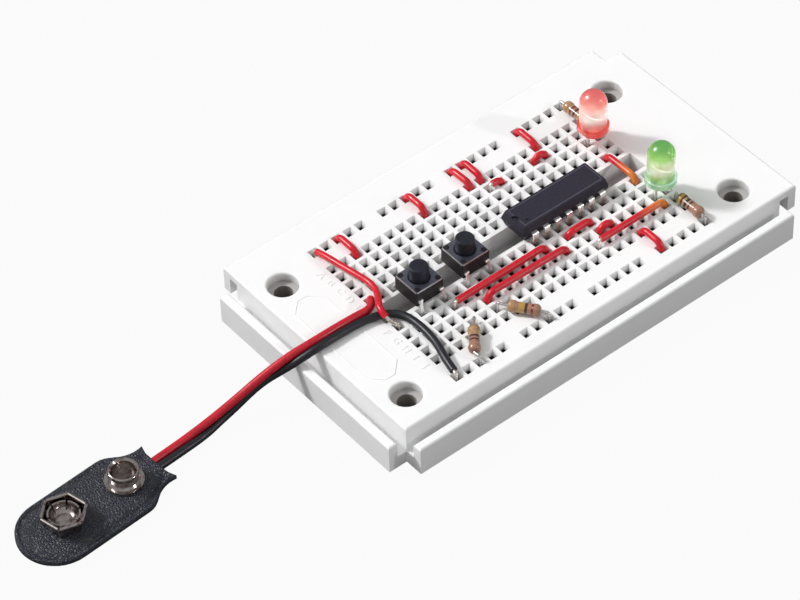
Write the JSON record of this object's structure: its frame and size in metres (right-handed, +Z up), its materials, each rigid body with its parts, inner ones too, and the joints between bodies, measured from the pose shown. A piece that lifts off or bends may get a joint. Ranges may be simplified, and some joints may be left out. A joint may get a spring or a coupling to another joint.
{
  "type": "digital logic trainer",
  "caption": "Solderless breadboard with a gate chip, push switches, red and green lamps, resistors and wire links, and two flexible leads that end in a battery snap.",
  "frame": {"origin": "middle of the board's underside, rails included", "axes": "+X along the board's long side, away from the battery snap, +Y towards the far bus row, +Z up"},
  "size_m": [0.1482, 0.0532, 0.0204],
  "materials": {
    "pad_foam": "closed foam with a paper face",
    "white_plastic": "satin moulded",
    "spring_clips": "nickel plated spring strip",
    "chip_epoxy": "fine matte",
    "chip_silicon": "polished",
    "tinned_leads": "tinned",
    "chip_paddle": "plain copper alloy",
    "lamp_frame": "tinned",
    "green_lens": "diffused epoxy, lit",
    "red_lens": "diffused epoxy, lit",
    "black_lead_vinyl": "smooth soft vinyl",
    "red_lead_vinyl": "smooth soft vinyl",
    "red_sleeve": "smooth vinyl",
    "copper_core": "tinned copper",
    "resistor_coat": "satin lacquer with colour bands",
    "snap_vinyl": "fine grained vinyl",
    "snap_fibre": "pressed fibre",
    "nickel_contact": "nickel plated",
    "switch_black": "satin moulded",
    "switch_spring": "bright spring steel",
    "switch_steel": "brushed",
    "plunger_black": "matte moulded",
    "switch_silver": "silver plated"
  },
  "bodies": {
    "board": {"adhesive_pad": "pad_foam", "breadboard_body": "white_plastic", "bus_clip_far": "spring_clips", "bus_clip_near": "spring_clips", "chip_case": "chip_epoxy", "chip_die": "chip_silicon", "chip_leads": "tinned_leads", "chip_paddle": "chip_paddle", "lamp_green_anode_lead": "lamp_frame", "lamp_green_cathode_lead": "lamp_frame", "lamp_green_lens": "green_lens", "lamp_red_anode_lead": "lamp_frame", "lamp_red_cathode_lead": "lamp_frame", "lamp_red_lens": "red_lens", "lead_black": "black_lead_vinyl", "lead_red": "red_lead_vinyl", "lead_tips": "tinned_leads", "link_channel_21": "red_sleeve", "link_cores": "copper_core", "link_far_bus_12": "red_sleeve", "link_far_bus_13": "red_sleeve", "link_far_bus_18": "red_sleeve", "link_far_bus_2": "red_sleeve", "link_far_bus_8": "red_sleeve", "link_gate_14_16": "red_sleeve", "link_gate_16_17": "red_sleeve", "link_input_4_12": "red_sleeve", "link_input_6_13": "red_sleeve", "link_near_bus_18": "red_sleeve", "link_output_15_21": "red_sleeve", "link_tie_13_14": "red_sleeve", "link_tie_17_18": "red_sleeve", "resistor_green_lamp_body": "resistor_coat", "resistor_green_lamp_leads": "tinned_leads", "resistor_left_switch_body": "resistor_coat", "resistor_left_switch_leads": "tinned_leads", "resistor_red_lamp_body": "resistor_coat", "resistor_red_lamp_leads": "tinned_leads", "resistor_right_switch_body": "resistor_coat", "resistor_right_switch_leads": "tinned_leads", "row_clips_far": "spring_clips", "row_clips_near": "spring_clips", "snap_cover": "snap_vinyl", "snap_fibre_plate": "snap_fibre", "snap_socket": "nickel_contact", "snap_stud": "nickel_contact", "strap_supply": "red_sleeve", "switch_left_base": "switch_black", "switch_left_contact_dome": "switch_spring", "switch_left_cover_plate": "switch_steel", "switch_left_terminals": "switch_silver", "switch_right_base": "switch_black", "switch_right_contact_dome": "switch_spring", "switch_right_cover_plate": "switch_steel", "switch_right_terminals": "switch_silver"},
    "left_plunger": {"switch_left_plunger": "plunger_black"},
    "right_plunger": {"switch_right_plunger": "plunger_black"}
  },
  "joints": [
    {"name": "left_switch_press", "type": "slide", "parent": "board", "child": "left_plunger", "axis": [0, 0, -1], "range_m": [0, 0.00025], "stiffness_N_per_m": 4000, "springref_m": -0.00015},
    {"name": "right_switch_press", "type": "slide", "parent": "board", "child": "right_plunger", "axis": [0, 0, -1], "range_m": [0, 0.00025], "stiffness_N_per_m": 4000, "springref_m": -0.00015}
  ]
}
